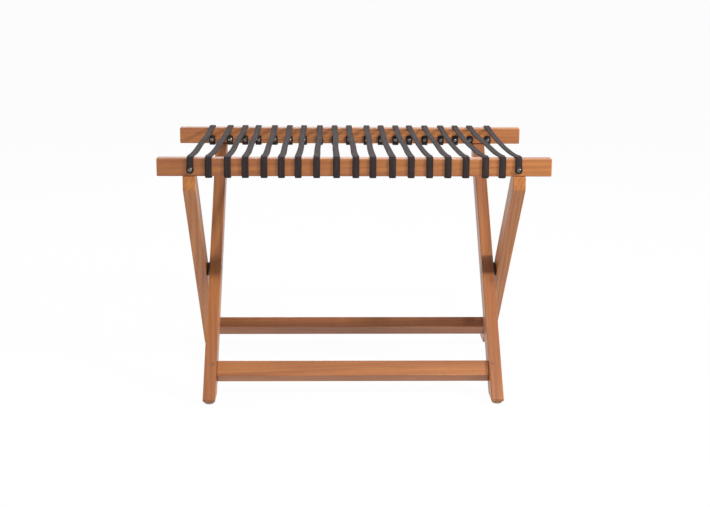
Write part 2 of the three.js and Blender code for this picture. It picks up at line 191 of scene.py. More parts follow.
class Shader:
    """The node tree of one material or of the world."""

    def __init__(self, name, tree=None):
        if tree is None:
            self.material = bpy.data.materials.new(name)
            self.material.use_nodes = True
            tree = self.material.node_tree
        self.tree = tree
        self.surface = tree.nodes.get("Principled BSDF")

    def feed(self, socket, value):
        if isinstance(value, Value):
            self.tree.links.new(value.socket, socket)
        else:
            socket.default_value = value

    def add(self, kind, settings=None, sockets=None, out=0):
        """A node of any kind: its settings come first, then its sockets by name or number."""
        node = self.tree.nodes.new(kind)
        for name, value in (settings or {}).items():
            setattr(node, name, value)
        for key, value in (sockets or {}).items():
            self.feed(node.inputs[key], value)
        return Value(self, node.outputs[out])

    def math(self, operation, a, b):
        return self.add("ShaderNodeMath", {"operation": operation}, {0: a, 1: b})

    def mix(self, factor, a, b):
        """Colour a where the factor is 0, b where it is 1."""
        colours = {6: (*a, 1) if isinstance(a, tuple) else a, 7: (*b, 1) if isinstance(b, tuple) else b}
        return self.add("ShaderNodeMix", {"data_type": "RGBA"}, {0: factor, **colours}, out=2)

    def step(self, value, low, high):
        """Smooth step from 0 at low to 1 at high."""
        sockets = {"Value": value, "From Min": low, "From Max": high}
        return self.add("ShaderNodeMapRange", {"interpolation_type": "SMOOTHSTEP"}, sockets)

    def stretch(self, vector, scales):
        return self.add("ShaderNodeVectorMath", {"operation": "MULTIPLY"}, {0: vector, 1: scales})

    def length(self, vector):
        return self.add("ShaderNodeVectorMath", {"operation": "LENGTH"}, {0: vector}, out=1)

    def noise(self, vector, scales, detail=2.0, rough=0.5):
        """Noise from 0 to 1 on a vector that is stretched by scales first."""
        sockets = {"Vector": self.stretch(vector, scales), "Scale": 1.0, "Detail": detail, "Roughness": rough}
        return self.add("ShaderNodeTexNoise", None, sockets)

    def cells(self, vector, scales):
        """Distance to the nearest of many scattered points."""
        sockets = {"Vector": self.stretch(vector, scales), "Scale": 1.0}
        return self.add("ShaderNodeTexVoronoi", None, sockets)

    def attribute(self, name, out="Vector"):
        return self.add("ShaderNodeAttribute", {"attribute_name": name}, None, out)

    def place(self):
        return self.add("ShaderNodeTexCoord", None, None, "Object")

    def parts(self, vector):
        """The three numbers of a vector."""
        split = self.add("ShaderNodeSeparateXYZ", None, {0: vector}).socket.node
        return [Value(self, socket) for socket in split.outputs]

    def bump(self, height, distance, strength=1.0):
        sockets = {"Height": height, "Distance": distance, "Strength": strength}
        return self.add("ShaderNodeBump", None, sockets)

    def finish(self, **sockets):
        for name, value in sockets.items():
            value = (*value, 1) if isinstance(value, tuple) else value
            self.feed(self.surface.inputs[name.replace("_", " ").title().replace("Ior", "IOR")], value)
        return self.material


# Timber
WOOD_PALE = (0.57, 0.212, 0.042)
WOOD_WARM = (0.43, 0.14, 0.022)
WOOD_LATE = (0.23, 0.066, 0.017)
WOOD_PORE = (0.12, 0.036, 0.012)
WOOD_BROWN = (0.19, 0.049, 0.02)
RING_STEP = 7 * MM
RING_WANDER = 9 * MM
# Noise scales per metre: along the grain, and two ways across it
WANDER_SCALE = (2.6, 16, 16)
BAND_SCALE = (1.7, 70, 70)
FIGURE_SCALE = (3.4, 26, 26)
FIBRE_SCALE = (9, 620, 620)
PORE_SCALE = (70, 1900, 1900)
# Where the noise of each layer starts to show and shows in full
BAND_RANGE = (0.32, 0.68)
FIGURE_RANGE = (0.44, 0.7)
FIBRE_RANGE = (0.36, 0.7)
PORE_RANGE = (0.63, 0.72)
# Where in a ring the late wood comes up, and where it ends
LATE_RANGE = (0.3, 0.86)
LATE_END = (0.88, 1.0)
# How far each layer goes towards its darker colour
LATE_SHARE = 0.26
FIBRE_SHARE = 0.2
FIGURE_SHARE = 0.3
PORE_SHARE = 0.45
# Relief of the grain: its depth, and the shares of fibres and pores in it
GRAIN_RELIEF = 0.12 * MM
FIBRE_RISE = 0.4
PORE_DIP = 0.8
WOOD_ROUGH = 0.45


def timber_finish():
    """Solid wood on the piece's grain vector (along, and two ways across, from the tree's middle).

    Year rings: the distance from the middle, plus a slow wander, in steps of a ring; the late wood darkens
    each step towards its end. Bands, figure, fibres and pores are noise drawn out along the grain. The tone
    takes the whole colour towards brown. It is partly each board's own colour and partly painted shade and
    light: a piece is made darker towards the end that lies in shade, and lighter where more light falls.
    """
    wood = Shader("oiled_hardwood")
    grain = wood.attribute("grain")
    tone_and_shade = wood.attribute("tone_and_shade", "Fac")
    wander = wood.noise(grain, WANDER_SCALE, 3.0) - 0.5
    from_middle = wood.length(wood.stretch(grain, (0, 1, 1))) + wander * RING_WANDER
    ring = wood.math("FRACT", from_middle / RING_STEP, 0.0)
    late = wood.step(ring, *LATE_RANGE) * (1 - wood.step(ring, *LATE_END))
    band = wood.step(wood.noise(grain, BAND_SCALE, 3.0), *BAND_RANGE)
    fibre = wood.step(wood.noise(grain, FIBRE_SCALE, 3.0, 0.6), *FIBRE_RANGE)
    figure = wood.step(wood.noise(grain, FIGURE_SCALE, 2.0), *FIGURE_RANGE)
    pore = wood.step(wood.noise(grain, PORE_SCALE, 1.0), *PORE_RANGE)
    colour = wood.mix(band, WOOD_PALE, WOOD_WARM)
    colour = wood.mix(late * LATE_SHARE * (1 + band), colour, WOOD_LATE)
    colour = wood.mix(fibre * FIBRE_SHARE, colour, WOOD_LATE)
    colour = wood.mix(figure * FIGURE_SHARE, colour, WOOD_BROWN)
    colour = wood.mix(pore * PORE_SHARE, colour, WOOD_PORE)
    # Painted shade and light: this darkens each piece more towards the end that lies in shade, besides the
    # board's own colour.
    colour = wood.mix(tone_and_shade, colour, WOOD_BROWN)
    height = fibre * FIBRE_RISE - pore * PORE_DIP
    return wood.finish(
        base_color=colour,
        roughness=WOOD_ROUGH + 0.1 * fibre + 0.06 * late,
        coat_weight=0.28,
        coat_roughness=0.2,
        normal=wood.bump(height, GRAIN_RELIEF, 0.6),
    )


# Peg ends
PEG_PALE = (0.3, 0.115, 0.042)
PEG_DARK = (0.17, 0.058, 0.022)
PEG_RIM = (0.05, 0.018, 0.009)
PEG_RING_STEP = 0.7 * MM
PEG_WANDER_SCALE = (300, 300, 300)
PEG_SPECK_SCALE = (2500, 2500, 2500)
PEG_RELIEF = 0.1 * MM
PEG_RIM_START = 0.7


def peg_finish():
    """End grain of a peg: rings round its middle, and a darker line where it meets the leg."""
    wood = Shader("peg_end_grain")
    disc = wood.attribute("disc")
    radius = wood.length(disc)
    ring = wood.math("FRACT", radius / PEG_RING_STEP + wood.noise(disc, PEG_WANDER_SCALE) * 0.8, 0.0)
    speck = wood.noise(disc, PEG_SPECK_SCALE, 1.0)
    colour = wood.mix(ring * 0.5 + speck * 0.3, PEG_PALE, PEG_DARK)
    colour = wood.mix(wood.step(radius, PEG_RIM_START * PEG_RADIUS, PEG_RADIUS), colour, PEG_RIM)
    return wood.finish(base_color=colour, roughness=0.55, normal=wood.bump(speck, PEG_RELIEF, 0.5))


# Leather
LEATHER = (0.025, 0.0185, 0.0188)
LEATHER_WORN = (0.06, 0.046, 0.046)
LEATHER_EDGE = (0.011, 0.0085, 0.0085)
# Noise scales per metre: across the strip, along it, and from strip to strip
PEBBLE_SCALE = (1150, 1150, 1150)
SCUFF_SCALE = (420, 28, 60)
CLOUD_SCALE = (120, 26, 30)
# Where the dark edge starts and is full, in shares of the width from the middle
EDGE_START = 0.43
EDGE_FULL = 0.495
LEATHER_RELIEF = 0.12 * MM
LEATHER_ROUGH = 0.7
LEATHER_SHEEN = (1.0, 0.78, 0.76)
SCUFF_RANGE = (0.42, 0.75)
SCUFF_SHARE = 0.45
CLOUD_SHARE = 0.4
EDGE_SHARE = 0.85


def leather_finish():
    """Black leather on the strip's own (across, along) vector: fine pebbles, scuffs along it, dark edges."""
    hide = Shader("black_leather")
    strip = hide.attribute("strip")
    across = abs(hide.parts(strip)[0])
    pebble = hide.cells(strip, PEBBLE_SCALE)
    scuff = hide.step(hide.noise(strip, SCUFF_SCALE, 3.0), *SCUFF_RANGE)
    cloud = hide.noise(strip, CLOUD_SCALE, 2.0)
    edge = hide.step(across, EDGE_START * STRIP_WIDE, EDGE_FULL * STRIP_WIDE)
    colour = hide.mix(scuff * SCUFF_SHARE + cloud * CLOUD_SHARE, LEATHER, LEATHER_WORN)
    colour = hide.mix(edge * EDGE_SHARE, colour, LEATHER_EDGE)
    return hide.finish(
        base_color=colour,
        roughness=LEATHER_ROUGH + 0.16 * scuff + 0.08 * cloud,
        specular_ior_level=0.12,
        specular_tint=LEATHER_SHEEN,
        normal=hide.bump(pebble + CLOUD_SHARE * cloud, LEATHER_RELIEF, 0.55),
    )


# Metal and nylon
NICKEL = (0.3, 0.28, 0.26)
NICKEL_DULL = (0.12, 0.11, 0.105)
BLACKED = (0.025, 0.022, 0.022)
BLACKED_WORN = (0.045, 0.04, 0.038)
METAL_PATCH_SCALE = (260, 260, 260)
METAL_BRUSH_SCALE = (1400, 1400, 1400)
METAL_RELIEF = 0.03 * MM
DULL_RANGE = (0.35, 0.75)
TAN = (0.26, 0.17, 0.09)
TAN_PALE = (0.36, 0.25, 0.15)
# Dark nylon of the spacers: partly painted shade, made dark like the shaded gap between the legs at the
# pivot.
DARK = (0.03, 0.022, 0.018)
DARK_PALE = (0.05, 0.038, 0.03)
NYLON_CLOUD_SCALE = (150, 150, 150)
NYLON_GRAIN_SCALE = (1800, 1800, 1800)
NYLON_RELIEF = 0.04 * MM
NYLON_ROUGH = 0.42


def metal_finish(name, colour, dull, rough, flaw):
    """Metal with fine brushed noise: colour towards dull in patches, roughness by the same patches."""
    metal = Shader(name)
    place = metal.place()
    patch = metal.noise(place, METAL_PATCH_SCALE, 3.0)
    brush = metal.noise(place, METAL_BRUSH_SCALE, 1.0)
    return metal.finish(
        base_color=metal.mix(metal.step(patch, *DULL_RANGE), colour, dull),
        metallic=1.0,
        roughness=rough + flaw * patch,
        normal=metal.bump(brush, METAL_RELIEF, 0.4),
    )


def plastic_finish(name, colour, pale):
    """Moulded nylon: faint clouds from one colour to a paler one, and a fine grain."""
    nylon = Shader(name)
    place = nylon.place()
    cloud = nylon.noise(place, NYLON_CLOUD_SCALE, 2.0)
    grain = nylon.noise(place, NYLON_GRAIN_SCALE, 1.0)
    return nylon.finish(
        base_color=nylon.mix(cloud, colour, pale),
        roughness=NYLON_ROUGH + 0.1 * cloud,
        normal=nylon.bump(grain, NYLON_RELIEF, 0.4),
    )


TIMBER = timber_finish()
PEG = peg_finish()
HIDE = leather_finish()
BRIGHT_STEEL = metal_finish("nickelled_steel", NICKEL, NICKEL_DULL, rough=0.14, flaw=0.14)
BLACK_STEEL = metal_finish("blackened_steel", BLACKED, BLACKED_WORN, rough=0.4, flaw=0.15)
TAN_NYLON = plastic_finish("tan_nylon", TAN, TAN_PALE)
DARK_NYLON_AND_SHADE = plastic_finish("dark_nylon_and_shade", DARK, DARK_PALE)


def tube_faces(rings, sides, loop=False):
    """Quads from each ring to the next, and a flat cap on each end unless the rings close in a loop."""
    ring, side = np.meshgrid(np.arange(rings if loop else rings - 1), np.arange(sides), indexing="ij")
    after, beside = (ring + 1) % rings, (side + 1) % sides
    corners = [ring * sides + side, ring * sides + beside, after * sides + beside, after * sides + side]
    quads = np.stack(corners, axis=-1).reshape(-1, 4).tolist()
    if loop:
        return quads
    first = list(range(sides))[::-1]
    last = list(range((rings - 1) * sides, rings * sides))
    return quads + [first, last]


def add_piece(name, points, faces, material, sharp=32):
    mesh = bpy.data.meshes.new(name)
    mesh.from_pydata(points.reshape(-1, 3).tolist(), [], faces)
    mesh.polygons.foreach_set("use_smooth", np.ones(len(mesh.polygons), bool))
    mesh.set_sharp_from_angle(angle=math.radians(sharp))
    mesh.materials.append(material)
    piece = bpy.data.objects.new(name, mesh)
    bpy.context.scene.collection.objects.link(piece)
    return piece


def carry(piece, name, values):
    """Stores one vector, or one number, at each point of a piece."""
    kind, field = ("FLOAT_VECTOR", "vector") if values.ndim == 2 else ("FLOAT", "value")
    layer = piece.data.attributes.new(name, kind, "POINT")
    layer.data.foreach_set(field, values.astype(np.float32).ravel())


def stand(points, centre, axis):
    """Turns local points so that their Z is the axis, and moves them to the centre."""
    up = np.array(axis, float) / np.linalg.norm(axis)
    first = np.cross(up, (0, 0, 1)) if abs(up[2]) < NEARLY else np.array((1.0, 0, 0))
    first /= np.linalg.norm(first)
    return centre + points @ np.stack([first, np.cross(up, first), up])


def turned(radius, height):
    """Rings round Z: each row of radius and height, plain or one for each side, is one ring."""
    angle = np.linspace(0, 2 * np.pi, ROUND, endpoint=False)
    radius = np.broadcast_to(np.asarray(radius, float).reshape(len(radius), -1), (len(radius), ROUND))
    height = np.broadcast_to(np.asarray(height, float).reshape(len(height), -1), (len(height), ROUND))
    return np.stack([radius * np.cos(angle), radius * np.sin(angle), height], axis=-1)


# Timber pieces
def rounded_bar(outline, x0, x1, radius):
    """A bar along X over an outline in (y, z), with every edge rounded.

    Its core is the bar shrunk by the radius. Each corner of the core carries part of a ball:
    point = corner + radius * (sin p, cos p * cos t, cos p * sin t), where t turns from the outward way of one
    side to that of the next, and p goes from one end of the bar to the other. Returns points, normals, faces.
    """
    corners = np.array(outline)
    following = np.roll(corners, -1, axis=0)
    if np.sum(corners[:, 0] * following[:, 1] - corners[:, 1] * following[:, 0]) < 0:
        corners = corners[::-1]
        following = np.roll(corners, -1, axis=0)
    edge = following - corners
    edge /= np.linalg.norm(edge, axis=1, keepdims=True)
    after = np.stack([edge[:, 1], -edge[:, 0]], axis=1)
    before = np.roll(after, 1, axis=0)
    core = corners - radius * (before + after) / (1 + np.sum(before * after, axis=1, keepdims=True))
    start = np.arctan2(before[:, 1], before[:, 0])
    swing = np.mod(np.arctan2(after[:, 1], after[:, 0]) - start, 2 * np.pi)
    turn = (start[:, None] + swing[:, None] * np.linspace(0, 1, ARC + 1)).ravel()
    rise = np.linspace(0, np.pi / 2, ARC + 1)
    tilt = np.concatenate([rise[1:] - np.pi / 2, rise[:-1]])[:, None]
    ball = np.stack(
        np.broadcast_arrays(np.sin(tilt), np.cos(tilt) * np.cos(turn), np.cos(tilt) * np.sin(turn)), axis=-1
    )
    middle = np.zeros_like(ball)
    middle[:ARC, :, 0] = x0 + radius
    middle[ARC:, :, 0] = x1 - radius
    middle[..., 1:] = np.repeat(core, ARC + 1, axis=0)
    caps = [np.column_stack([np.full(len(core), x), core]) for x in (x0, x1)]
    points = np.concatenate([(middle + radius * ball).reshape(-1, 3), *caps])
    ways = [np.tile((way, 0.0, 0.0), (len(core), 1)) for way in (-1.0, 1.0)]
    normals = np.concatenate([ball.reshape(-1, 3), *ways])
    return points, normals, bar_faces(len(core))


def bar_faces(corners):
    """Faces of a rounded bar: the tube, a fan and a strip from each end ring to its cap, and the two caps."""
    sides = corners * (ARC + 1)
    rings = 2 * ARC
    tube = tube_faces(rings, sides)[:-2]
    corner = np.arange(corners)
    low = rings * sides + corner
    high = low + corners
    from_low = np.repeat(corner * (ARC + 1), ARC) + np.tile(np.arange(ARC), corners)
    from_high = from_low + (rings - 1) * sides
    fans = np.concatenate([
        np.stack([np.repeat(low, ARC), from_low + 1, from_low], axis=1),
        np.stack([from_high, from_high + 1, np.repeat(high, ARC)], axis=1),
    ])
    end = corner * (ARC + 1) + ARC
    begin = np.roll(corner, -1) * (ARC + 1)
    last = (rings - 1) * sides
    strips = np.concatenate([
        np.stack([low, np.roll(low, -1), begin, end], axis=1),
        np.stack([last + end, last + begin, np.roll(high, -1), high], axis=1),
    ])
    return tube + fans.tolist() + strips.tolist() + [low[::-1].tolist(), high.tolist()]


# The tree's middle: how near and how far it lies, its steepest slope, and the longest start along the grain
TREE_NEAR = 28 * MM
TREE_FAR = 60 * MM
TREE_SLOPE = 0.035
GRAIN_START = 9


def grain_of(points, along, middle):
    """Each point's place along the piece's grain and across it, from a tree's middle beside the piece.

    The middle's distance and slope differ from piece to piece, so that the rings run out at a low angle.
    """
    along = np.array(along, float)
    side = np.array((0.0, 0.0, 1.0)) if abs(along[0]) > NEARLY else np.array((1.0, 0.0, 0.0))
    deep = np.cross(along, side)
    local = (points - middle) @ np.stack([along, side, deep], axis=1)
    bearing = RANDOM.uniform(0, 2 * np.pi)
    distance = RANDOM.uniform(TREE_NEAR, TREE_FAR)
    slope = RANDOM.uniform(-TREE_SLOPE, TREE_SLOPE, 2)
    offset = distance * np.array((np.cos(bearing), np.sin(bearing)))
    local[:, 1:] += offset + local[:, :1] * slope
    local[:, 0] += RANDOM.uniform(0, GRAIN_START)
    return local


def tone_and_shade_of(points, along, ends):
    """Tone of each point: it goes in a straight line along the piece, from that of one end to the other's.
    The ends' values are partly painted shade and light, and partly each board's own colour.
    """
    place = points @ np.array(along, float)
    return np.interp(place, (place.min(), place.max()), ends)


def add_bar(name, body, outline, x0, x1, radius, along, tones_and_shade):
    points, normals, faces = rounded_bar(outline, x0, x1, radius)
    piece = add_piece(f"{name}_timber", points, faces, TIMBER, sharp=180)
    piece.data.normals_split_custom_set_from_vertices(normals.tolist())
    carry(piece, "grain", grain_of(points, along, points.mean(axis=0)))
    # Per point: each board's own colour with painted shade and light from one end of the piece to the other.
    carry(piece, "tone_and_shade", tone_and_shade_of(points, along, tones_and_shade))
    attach(piece, body)
    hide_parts(name)


def rail_outline(out):
    inner, outer = out * RAIL_INNER, out * REACH
    return [(inner, SEAT), (outer, SEAT), (outer, TOP), (inner, TOP)]


def beside_leg(across, along):
    """(reach, height) of a point given across and along the leg, from the pivot."""
    return (
        across * math.cos(LEAN) + along * math.sin(LEAN),
        PIVOT_HEIGHT - across * math.sin(LEAN) + along * math.cos(LEAN),
    )


def on_leg(across, height=None, reach=None):
    """(reach, height) of a point on a line along the leg, at a height or at a reach.

    Across is the line's distance from the leg's middle, towards the rail.
    """
    if reach is None:
        along = (height - PIVOT_HEIGHT + across * math.sin(LEAN)) / math.cos(LEAN)
    else:
        along = (reach - across * math.cos(LEAN)) / math.sin(LEAN)
    return beside_leg(across, along)


def leg_outline(out):
    half = LEG_DEEP / 2
    top = SEAT - FIT
    toe = on_leg(-half, height=FOOT)[0] + TOE_CUT
    corners = [
        on_leg(-half, height=top),
        on_leg(-half, reach=toe),
        (toe, FOOT),
        on_leg(half, height=FOOT),
        on_leg(half, reach=REACH),
        (REACH, top),
    ]
    return [(out * reach, height) for reach, height in corners]


def stretcher_outline(out):
    half = np.array((STRETCHER_THICK, STRETCHER_TALL)) / 2
    signs = [(-1, -1), (1, -1), (1, 1), (-1, 1)]
    corners = [beside_leg(a * half[0], b * half[1] - STRETCHER_DROP) for a, b in signs]
    return [(out * reach, height) for reach, height in corners]


FRAMES = {
    "outer_frame": {"out": -1, "rail": "front_rail", "leg": "outer_leg", "stretcher": "back_stretcher"},
    "inner_frame": {"out": 1, "rail": "back_rail", "leg": "inner_leg", "stretcher": "front_stretcher"},
}
# How far each piece goes towards brown at its two ends: left and right, or bottom and top.
# Partly each board's own colour, partly painted shade and light: the rails lighter towards the right,
# where more light falls, the inner legs darker towards the top under the seat, and the back stretcher
# darker where it lies in shade.
TONES_AND_SHADE = {
    "front_rail": (0.28, 0.2),
    "back_rail": (0.44, 0.06),
    "outer_leg_left": (0.06, 0.06),
    "outer_leg_right": (0.0, 0.02),
    "inner_leg_left": (0.3, 0.4),
    "inner_leg_right": (0.3, 0.56),
    "back_stretcher": (0.4, 0.46),
    "front_stretcher": (0.18, 0.18),
}


def add_timber(body, out, rail, leg, stretcher):
    lengthwise = (1, 0, 0)
    up_leg = (0, out * math.sin(LEAN), math.cos(LEAN))
    add_bar(rail, body, rail_outline(out), -RAIL_HALF, RAIL_HALF, RAIL_ROUND, lengthwise, TONES_AND_SHADE[rail])
    for side in SIDES:
        name = f"{leg}_{side}"
        low, high = box_of(name)
        add_bar(name, body, leg_outline(out), low[0], high[0], LEG_ROUND, up_leg, TONES_AND_SHADE[name])
    shoulder = box_of(stretcher)[1][0] - TENON_LONG
    bar = stretcher_outline(out)
    add_bar(stretcher, body, bar, -shoulder, shoulder, STRETCHER_ROUND, lengthwise, TONES_AND_SHADE[stretcher])


def add_turned(name, node, body, points, material, loop=False):
    piece = add_piece(name, points, tube_faces(points.shape[0], ROUND, loop), material)
    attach(piece, body)
    if node:
        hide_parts(node)
    return piece


def add_pegs(body, out, stretcher):
    """A round peg with an eased end, from inside the leg to just above its face."""
    radius = np.array((1, 1, 0.93, 0.8, 0.4)) * PEG_RADIUS
    below = np.array((PEG_LONG, PEG_EASE, PEG_EASE / 4, 0, 0))
    ring = turned(radius, PEG_PROUD - below)
    axis = np.array((0, -out * math.cos(LEAN), math.sin(LEAN)))
    for side in SIDES:
        name = f"{stretcher}_peg_{side}"
        low, high = box_of(name)
        face = (low + high) / 2 + axis * (PEG_LONG / 2 - PEG_PROUD)
        piece = add_turned(f"{name}_end", name, body, stand(ring, face, axis), PEG)
        carry(piece, "disc", (ring * (1, 1, 0)).reshape(-1, 3))


def add_glides(body, leg):
    """A low button: flat in the middle, and from there a quarter turn up to its rim."""
    angle = np.linspace(0, np.pi / 2, GLIDE_STEPS)
    radius = np.append(GLIDE_FLAT + (GLIDE_RADIUS - GLIDE_FLAT) * np.sin(angle), GLIDE_RADIUS)
    height = np.append(GLIDE_DOME * (1 - np.cos(angle)), FOOT - FIT)
    for side in SIDES:
        name = f"{leg}_glide_{side}"
        low, high = box_of(name)
        centre = ((low[0] + high[0]) / 2, (low[1] + high[1]) / 2, low[2])
        points = stand(turned(radius, height), np.array(centre), (0, 0, 1))
        add_turned(f"{name}_button", name, body, points, TAN_NYLON)


def hexagon():
    """Radius of the six-sided socket at each side of a turned ring: its flats lie at cos(30 degrees)."""
    angle = np.linspace(0, 2 * np.pi, ROUND, endpoint=False)
    return math.cos(math.pi / 6) / np.cos(np.mod(angle, math.pi / 3) - math.pi / 6) * SOCKET_RADIUS


def bolt_end():
    """Radius and depth below the head's face, from the socket's floor over the rounded rim to the shank."""
    socket = hexagon()
    plain = np.ones(ROUND)
    rim = BOLT_HEAD_RADIUS
    radius = [
        socket,
        socket,
        socket + SOCKET_EASE_WIDE,
        plain * (rim - RIM_ROUND),
        plain * (rim - 0.3 * RIM_ROUND),
        plain * rim,
        plain * rim,
        plain * BOLT_RADIUS,
    ]
    rounding = [0.0, 0.0, 0.12 * RIM_ROUND, 0.5 * RIM_ROUND]
    return radius, [SOCKET_DEEP, SOCKET_EASE_DEEP, *rounding, BOLT_HEAD_THICK, BOLT_HEAD_THICK]


def add_bolt(bolt):
    """One profile round X: an end, and the same again in mirror, with a dark plate in each socket."""
    low, high = box_of(bolt)
    centre = (low + high) / 2
    half = (high[0] - low[0]) / 2
    axis = (1, 0, 0)
    radius, depth = bolt_end()
    height = np.array(depth) - half
    profile = turned(radius + radius[::-1], np.concatenate([height, -height[::-1]]))
    add_turned(f"{bolt}_steel", bolt, "outer_frame", stand(profile, centre, axis), BRIGHT_STEEL)
    floor = half - SOCKET_DEEP
    for end in SIDES.values():
        plate = turned([hexagon(), hexagon()], sorted((end * floor, end * (floor + SOCKET_FLOOR))))
        points = stand(plate, centre, axis)
        add_turned(f"{bolt}_socket_{end}", None, "outer_frame", points, BLACK_STEEL)


def add_spacer(spacer):
    """A flat ring round X, with its outer edges eased."""
    low, high = box_of(spacer)
    half = (high[0] - low[0]) / 2
    bore = BOLT_RADIUS + FIT
    eased = SPACER_RADIUS - SPACER_EASE
    radius = [bore, eased, SPACER_RADIUS, SPACER_RADIUS, eased, bore]
    height = [-half, -half, SPACER_EASE - half, half - SPACER_EASE, half, half]
    points = stand(turned(radius, height), (low + high) / 2, (1, 0, 0))
    # Its dark colour is partly painted shade for the gap between the legs.
    add_turned(f"{spacer}_ring", spacer, "outer_frame", points, DARK_NYLON_AND_SHADE, loop=True)


# Leather strips
def strip_section():
    """Closed outline of a strip in (across, out): rounded edges, a crown, a pressed line near each edge.

    The upper side is thickness - crown * (across / half)^2, and lower by the line's depth at its middle.
    The outline runs so that a tube along the strip has its faces outwards.
    """
    half = STRIP_WIDE / 2
    quarter = np.linspace(0, np.pi / 2, STRIP_ARC)
    edge = STRIP_EDGE
    right = np.column_stack([half - edge + edge * np.sin(quarter), edge - edge * np.cos(quarter)])
    upper = np.column_stack([right[::-1, 0], STRIP_THICK - STRIP_CROWN - right[::-1, 1]])
    line = LINE_PLACE + LINE_HALF * np.array((1, 0, -1))
    across = np.concatenate([line, half * np.array(CROWN_SHARES)])
    dip = np.where(across == LINE_PLACE, LINE_DEEP, 0)
    crowned = np.column_stack([across, STRIP_THICK - STRIP_CROWN * (across / half) ** 2 - dip])
    arch = np.concatenate([right, upper, crowned])
    return np.concatenate([arch, (arch * (-1, 1))[::-1]])[::-1]


def corner_turn(reach, height, start, end):
    """Quarter turn round a rail's edge: a point of the strip's inner face, and the way outwards."""
    angle = np.linspace(start, end, CORNER_STEPS)
    way = np.column_stack([np.cos(angle), np.sin(angle)])
    return np.column_stack([np.array((reach, height)) + (RAIL_ROUND + FIT) * way, way])


def run(start, end, way, steps):
    """Straight stretch, without its two ends."""
    share = np.linspace(0, 1, steps + 2)[1:-1, None]
    places = np.array(start) * (1 - share) + np.array(end) * share
    return np.column_stack([places, np.tile(way, (steps, 1))])


def wrap(short):
    """Path of a strip from its end round a rail to its top, as (reach, height, way out).

    A short one starts on the rail's outer face, any other on its inner face.
    """
    near, far = RAIL_INNER + RAIL_ROUND, REACH - RAIL_ROUND
    low, high = SEAT + RAIL_ROUND, TOP - RAIL_ROUND
    quarter = np.pi / 2
    over = corner_turn(far, high, 0, quarter)
    if short:
        tail = TOP - END_SCREW_DROP - END_STRIP_TAIL
        return np.concatenate([run((REACH + FIT, tail), (REACH + FIT, high), (1, 0), TAIL_STEPS), over])
    tail = SEAT + SCREW_RISE + STRIP_TAIL
    return np.concatenate([
        run((RAIL_INNER - FIT, tail), (RAIL_INNER - FIT, low), (-1, 0), TAIL_STEPS),
        corner_turn(near, low, 2 * quarter, 3 * quarter),
        run((near, SEAT - FIT), (far, SEAT - FIT), (0, -1), UNDER_STEPS),
        corner_turn(far, low, 3 * quarter, 4 * quarter),
        run((REACH + FIT, low), (REACH + FIT, high), (1, 0), FACE_STEPS),
        over,
    ])


def sag(depth):
    """Path between the rails: the drop is depth * (1 - share^4), steep at the rails and flat between."""
    half = RAIL_INNER + RAIL_ROUND
    y = half * np.sin(np.linspace(-np.pi / 2, np.pi / 2, SAG_STEPS))
    share = y / half
    slope = 4 * depth * share**3 / half
    way = np.column_stack([-slope, np.ones_like(slope)]) / np.hypot(slope, 1)[:, None]
    return np.column_stack([y, TOP + FIT - depth * (1 - share**4), way])


def strip_places(number):
    """Where a strip lies along the front rail and along the back rail."""
    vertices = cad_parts[f"strap_{number}"].data.vertices
    points = np.empty(3 * len(vertices), np.float32)
    vertices.foreach_get("co", points)
    points = points.reshape(-1, 3)
    front, back = points[points[:, 1] < -REACH, 0], points[points[:, 1] > REACH, 0]
    return (front.min() + front.max()) / 2, (back.min() + back.max()) / 2


def rounded_ends(along):
    """Share of the full width, by the distance from the nearer end: (1 - (1 - distance / round)^2.5)^0.6."""
    from_end = np.minimum(along, along[-1] - along) + END_BLUNT
    return (1 - np.clip(1 - from_end / END_ROUND, 0, 1) ** 2.5) ** 0.6


def along_path(across, out, twist, x, place, way):
    """Points of a section at each place of a path: turned by the twist, then set out along X and the way."""
    turn = twist[:, None]
    level = np.cos(turn) * across - np.sin(turn) * out
    rise = np.sin(turn) * across + np.cos(turn) * out
    return np.stack([
        x[:, None] + level,
        place[:, :1] + way[:, :1] * rise,
        place[:, 1:] + way[:, 1:] * rise,
    ], axis=-1)


def add_strip(number):
    """The section carried along the path: round the front rail, across with a sag, and round the back rail.

    Between the rails it waves, twists and is drawn a little narrower, by sin(pi * share of the way across).
    Each strip differs a little in sag, wave and twist.
    """
    front_x, back_x = strip_places(number)
    front = wrap(number in END_STRIPS) * (-1, 1, -1, 1)
    path = np.concatenate([front, sag(STRIP_SAG * RANDOM.uniform(*SAG_RANGE)), wrap(False)[::-1]])
    place, way = path[:, :2], path[:, 2:]
    half = RAIL_INNER + RAIL_ROUND
    share = np.clip((place[:, 0] + half) / (2 * half), 0, 1)
    hang = np.sin(np.pi * share)
    wave = STRIP_WAVE * np.sin(2 * np.pi * (WAVE_TURNS * share + RANDOM.uniform(0, 1)))
    x = front_x * (1 - share) + back_x * share + wave * hang
    twist = RANDOM.uniform(-STRIP_TWIST, STRIP_TWIST) * hang
    along = np.concatenate([[0], np.cumsum(np.linalg.norm(np.diff(place, axis=0), axis=1))])
    width = (1 - STRIP_DRAW * hang**2) * rounded_ends(along)
    section = strip_section()
    across = section[:, 0] * width[:, None]
    points = along_path(across, section[:, 1], twist, x, place, way)
    piece = add_piece(f"strip_{number}", points, tube_faces(len(path), len(section)), HIDE, sharp=60)
    seed = np.full_like(across, RANDOM.uniform(0, 5))
    pattern = np.stack([across, along[:, None] + np.zeros_like(across), seed], axis=-1)
    carry(piece, "strip", pattern.reshape(-1, 3))
    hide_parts(f"strap_{number}")
    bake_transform(piece)


